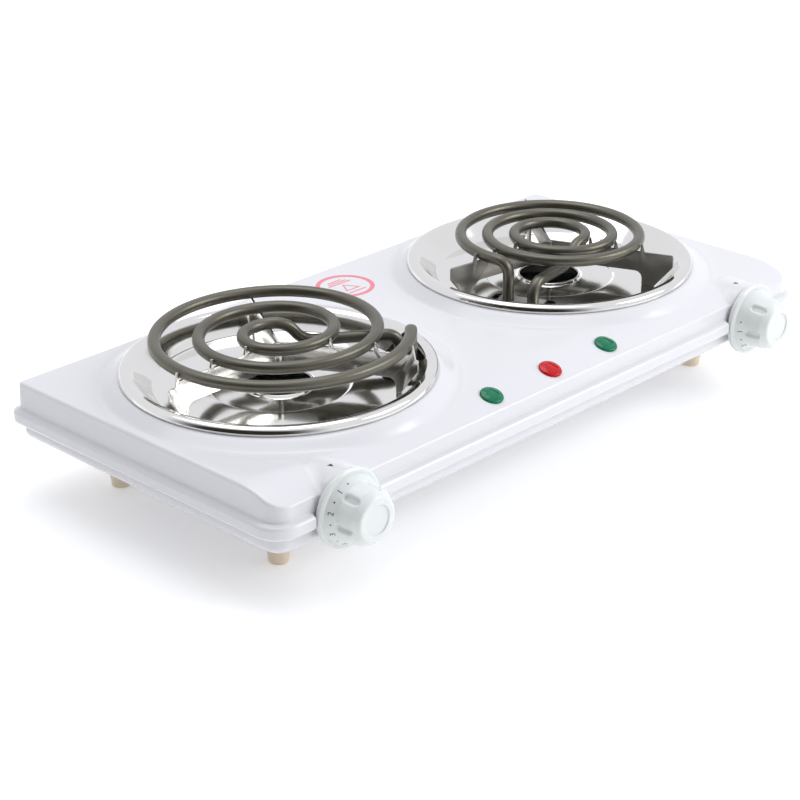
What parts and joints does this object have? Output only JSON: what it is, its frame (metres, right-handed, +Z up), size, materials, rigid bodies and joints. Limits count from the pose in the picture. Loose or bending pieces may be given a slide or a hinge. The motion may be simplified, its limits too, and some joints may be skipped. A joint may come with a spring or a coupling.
{
  "type": "two-burner electric hot plate",
  "caption": "Low enamelled-steel hot plate with coil burners that tilt up out of chrome drip pans, rotary controls, pilot lamps and tall feet.",
  "frame": {"origin": "centre of the bounding box's footprint, on the surface that the feet stand on", "axes": "+X along the housing's length, to the right as seen from the front; -Y towards the knobs and the user; +Z up"},
  "size_m": [0.5, 0.271, 0.1047],
  "materials": {
    "enamel": "gloss enamel",
    "enamel_base": "gloss enamel",
    "zinc": "zinc-plated",
    "foot_plastic": "moulded, cream",
    "chrome": "bright plated",
    "shield": "mill finish",
    "coil_sheath": "heat-stained, satin",
    "support_bright": "stamped",
    "support_dull": "heat-dulled",
    "clamp_steel": "stamped",
    "ceramic": "glazed steatite",
    "knob_plastic": "translucent, moulded",
    "brass": "turned",
    "copper_spring": "spring strip",
    "lens_green": "cut facets",
    "lens_red": "cut facets",
    "neon_glass": "clear",
    "sleeve_plastic": "moulded",
    "black_plastic": "moulded",
    "wire_black": "silicone",
    "wire_red": "silicone",
    "wire_blue": "silicone",
    "label_red": "printed film"
  },
  "bodies": {
    "housing": {"top_housing": "enamel", "base_pan": "enamel_base", "mounting_brackets": "zinc", "base_screws": "zinc", "feet": "foot_plastic", "foot_screws": "zinc", "foot_nuts": "zinc", "left_drip_pan": "chrome", "right_drip_pan": "chrome", "left_heat_shield": "shield", "right_heat_shield": "shield", "left_hinge_bracket": "zinc", "right_hinge_bracket": "zinc", "bracket_rivets": "zinc", "left_shaft_bushing": "brass", "right_shaft_bushing": "brass", "left_bushing_nut": "zinc", "right_bushing_nut": "zinc", "left_thermostat_frame": "zinc", "right_thermostat_frame": "zinc", "left_thermostat_insulator": "ceramic", "right_thermostat_insulator": "ceramic", "left_thermostat_blades": "copper_spring", "right_thermostat_blades": "copper_spring", "left_lamp_lens": "lens_green", "centre_lamp_lens": "lens_red", "right_lamp_lens": "lens_green", "lamp_sleeves": "sleeve_plastic", "neon_bulbs": "neon_glass", "lamp_retainers": "zinc", "cord_gland": "black_plastic", "gland_nut": "black_plastic", "terminal_block": "ceramic", "terminal_screws": "brass", "earth_screw": "brass", "supply_wires": "wire_black", "left_burner_wires": "wire_red", "right_burner_wires": "wire_red", "lamp_wires": "wire_blue", "hot_surface_label": "label_red"},
    "left_element": {"left_coil_element": "coil_sheath", "left_coil_support": "support_bright", "left_leg_clamp": "clamp_steel", "left_hinge_pins": "zinc", "left_terminal_seals": "ceramic", "left_terminal_pins": "zinc"},
    "right_element": {"right_coil_element": "coil_sheath", "right_coil_support": "support_dull", "right_leg_clamp": "clamp_steel", "right_hinge_pins": "zinc", "right_terminal_seals": "ceramic", "right_terminal_pins": "zinc"},
    "left_control": {"left_knob": "knob_plastic", "left_control_shaft": "zinc", "left_knob_spring": "zinc"},
    "right_control": {"right_knob": "knob_plastic", "right_control_shaft": "zinc", "right_knob_spring": "zinc"}
  },
  "joints": [
    {"name": "left_knob_turn", "type": "hinge", "parent": "housing", "child": "left_control", "pos_m": [-0.1935, -0.1095, 0.0515], "axis": [0, 1, 0], "range_deg": [0, 280]},
    {"name": "right_knob_turn", "type": "hinge", "parent": "housing", "child": "right_control", "pos_m": [0.1935, -0.1095, 0.0515], "axis": [0, 1, 0], "range_deg": [0, 280]},
    {"name": "left_element_tilt", "type": "hinge", "parent": "housing", "child": "left_element", "pos_m": [-0.05556, -0.02473, 0.0685], "axis": [0.4695, 0.8829, 0], "range_deg": [0, 15]},
    {"name": "right_element_tilt", "type": "hinge", "parent": "housing", "child": "right_element", "pos_m": [0.05476, -0.01726, 0.0685], "axis": [0.3907, -0.9205, 0], "range_deg": [0, 15]}
  ]
}
